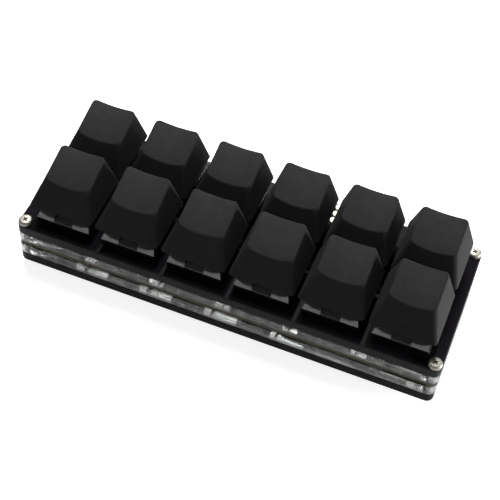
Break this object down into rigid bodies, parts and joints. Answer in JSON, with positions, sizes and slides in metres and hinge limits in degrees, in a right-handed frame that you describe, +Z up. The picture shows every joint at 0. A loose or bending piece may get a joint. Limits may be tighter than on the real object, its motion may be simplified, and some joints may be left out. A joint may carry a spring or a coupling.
{
  "type": "macro keypad",
  "caption": "Flat two-row desk keypad of blank black sculpted keys on sprung switches, on a screwed sandwich of black and clear sheets with a circuit board between.",
  "frame": {"origin": "middle of the footprint, on the surface that the feet stand on", "axes": "+X along the long side to the user's right, +Y away from the user, +Z up"},
  "size_m": [0.1194, 0.043, 0.0321],
  "materials": {
    "keycap": "moulded black plastic, fine even texture",
    "black_acrylic": "polished black sheet with cut edges",
    "clear_acrylic": "clear sheet with polished cut edges",
    "circuit_board": "black solder mask over glass-fibre board",
    "screw_steel": "plated steel",
    "foot_rubber": "soft black rubber",
    "switch_lower_shell": "moulded black nylon",
    "switch_upper_shell": "clear moulded polycarbonate",
    "stem": "moulded red acetal",
    "spring_steel": "drawn wire",
    "contact_metal": "rolled strip",
    "component_body": "black epoxy",
    "socket_steel": "tinned sheet",
    "socket_insulator": "black nylon",
    "crystal_can": "pressed can",
    "lamp_body": "pale lamp package",
    "light_guide": "moulded white light guide",
    "capacitor_body": "tan ceramic"
  },
  "bodies": {
    "base": {"top_plate": "black_acrylic", "upper_spacer": "clear_acrylic", "circuit_board": "circuit_board", "lower_spacer": "clear_acrylic", "bottom_plate": "black_acrylic", "rubber_feet": "foot_rubber", "corner_screws": "screw_steel", "switch_bottom_housings": "switch_lower_shell", "switch_top_housings": "switch_upper_shell", "switch_fixed_contacts": "contact_metal", "switch_moving_contacts": "contact_metal", "matrix_diodes": "component_body", "usb_socket_shell": "socket_steel", "usb_socket_tongue": "socket_insulator", "microcontroller": "component_body", "crystal": "crystal_can", "chip_capacitors": "capacitor_body", "chip_resistors": "component_body", "indicator_lamps": "lamp_body", "indicator_guides": "light_guide", "spring_front_1": "spring_steel", "spring_front_2": "spring_steel", "spring_front_3": "spring_steel", "spring_front_4": "spring_steel", "spring_front_5": "spring_steel", "spring_front_6": "spring_steel", "spring_back_1": "spring_steel", "spring_back_2": "spring_steel", "spring_back_3": "spring_steel", "spring_back_4": "spring_steel", "spring_back_5": "spring_steel", "spring_back_6": "spring_steel"},
    "key_front_1": {"keycap_front_1": "keycap", "stem_front_1": "stem"},
    "key_front_2": {"keycap_front_2": "keycap", "stem_front_2": "stem"},
    "key_front_3": {"keycap_front_3": "keycap", "stem_front_3": "stem"},
    "key_front_4": {"keycap_front_4": "keycap", "stem_front_4": "stem"},
    "key_front_5": {"keycap_front_5": "keycap", "stem_front_5": "stem"},
    "key_front_6": {"keycap_front_6": "keycap", "stem_front_6": "stem"},
    "key_back_1": {"keycap_back_1": "keycap", "stem_back_1": "stem"},
    "key_back_2": {"keycap_back_2": "keycap", "stem_back_2": "stem"},
    "key_back_3": {"keycap_back_3": "keycap", "stem_back_3": "stem"},
    "key_back_4": {"keycap_back_4": "keycap", "stem_back_4": "stem"},
    "key_back_5": {"keycap_back_5": "keycap", "stem_back_5": "stem"},
    "key_back_6": {"keycap_back_6": "keycap", "stem_back_6": "stem"}
  },
  "joints": [
    {"name": "press_front_1", "type": "slide", "parent": "base", "child": "key_front_1", "axis": [0, 0, -1], "range_m": [0, 0.004], "stiffness_N_per_m": 73.5, "springref_m": -0.004, "deforming": ["spring_front_1"]},
    {"name": "press_front_2", "type": "slide", "parent": "base", "child": "key_front_2", "axis": [0, 0, -1], "range_m": [0, 0.004], "stiffness_N_per_m": 73.5, "springref_m": -0.004, "deforming": ["spring_front_2"]},
    {"name": "press_front_3", "type": "slide", "parent": "base", "child": "key_front_3", "axis": [0, 0, -1], "range_m": [0, 0.004], "stiffness_N_per_m": 73.5, "springref_m": -0.004, "deforming": ["spring_front_3"]},
    {"name": "press_front_4", "type": "slide", "parent": "base", "child": "key_front_4", "axis": [0, 0, -1], "range_m": [0, 0.004], "stiffness_N_per_m": 73.5, "springref_m": -0.004, "deforming": ["spring_front_4"]},
    {"name": "press_front_5", "type": "slide", "parent": "base", "child": "key_front_5", "axis": [0, 0, -1], "range_m": [0, 0.004], "stiffness_N_per_m": 73.5, "springref_m": -0.004, "deforming": ["spring_front_5"]},
    {"name": "press_front_6", "type": "slide", "parent": "base", "child": "key_front_6", "axis": [0, 0, -1], "range_m": [0, 0.004], "stiffness_N_per_m": 73.5, "springref_m": -0.004, "deforming": ["spring_front_6"]},
    {"name": "press_back_1", "type": "slide", "parent": "base", "child": "key_back_1", "axis": [0, 0, -1], "range_m": [0, 0.004], "stiffness_N_per_m": 73.5, "springref_m": -0.004, "deforming": ["spring_back_1"]},
    {"name": "press_back_2", "type": "slide", "parent": "base", "child": "key_back_2", "axis": [0, 0, -1], "range_m": [0, 0.004], "stiffness_N_per_m": 73.5, "springref_m": -0.004, "deforming": ["spring_back_2"]},
    {"name": "press_back_3", "type": "slide", "parent": "base", "child": "key_back_3", "axis": [0, 0, -1], "range_m": [0, 0.004], "stiffness_N_per_m": 73.5, "springref_m": -0.004, "deforming": ["spring_back_3"]},
    {"name": "press_back_4", "type": "slide", "parent": "base", "child": "key_back_4", "axis": [0, 0, -1], "range_m": [0, 0.004], "stiffness_N_per_m": 73.5, "springref_m": -0.004, "deforming": ["spring_back_4"]},
    {"name": "press_back_5", "type": "slide", "parent": "base", "child": "key_back_5", "axis": [0, 0, -1], "range_m": [0, 0.004], "stiffness_N_per_m": 73.5, "springref_m": -0.004, "deforming": ["spring_back_5"]},
    {"name": "press_back_6", "type": "slide", "parent": "base", "child": "key_back_6", "axis": [0, 0, -1], "range_m": [0, 0.004], "stiffness_N_per_m": 73.5, "springref_m": -0.004, "deforming": ["spring_back_6"]}
  ]
}
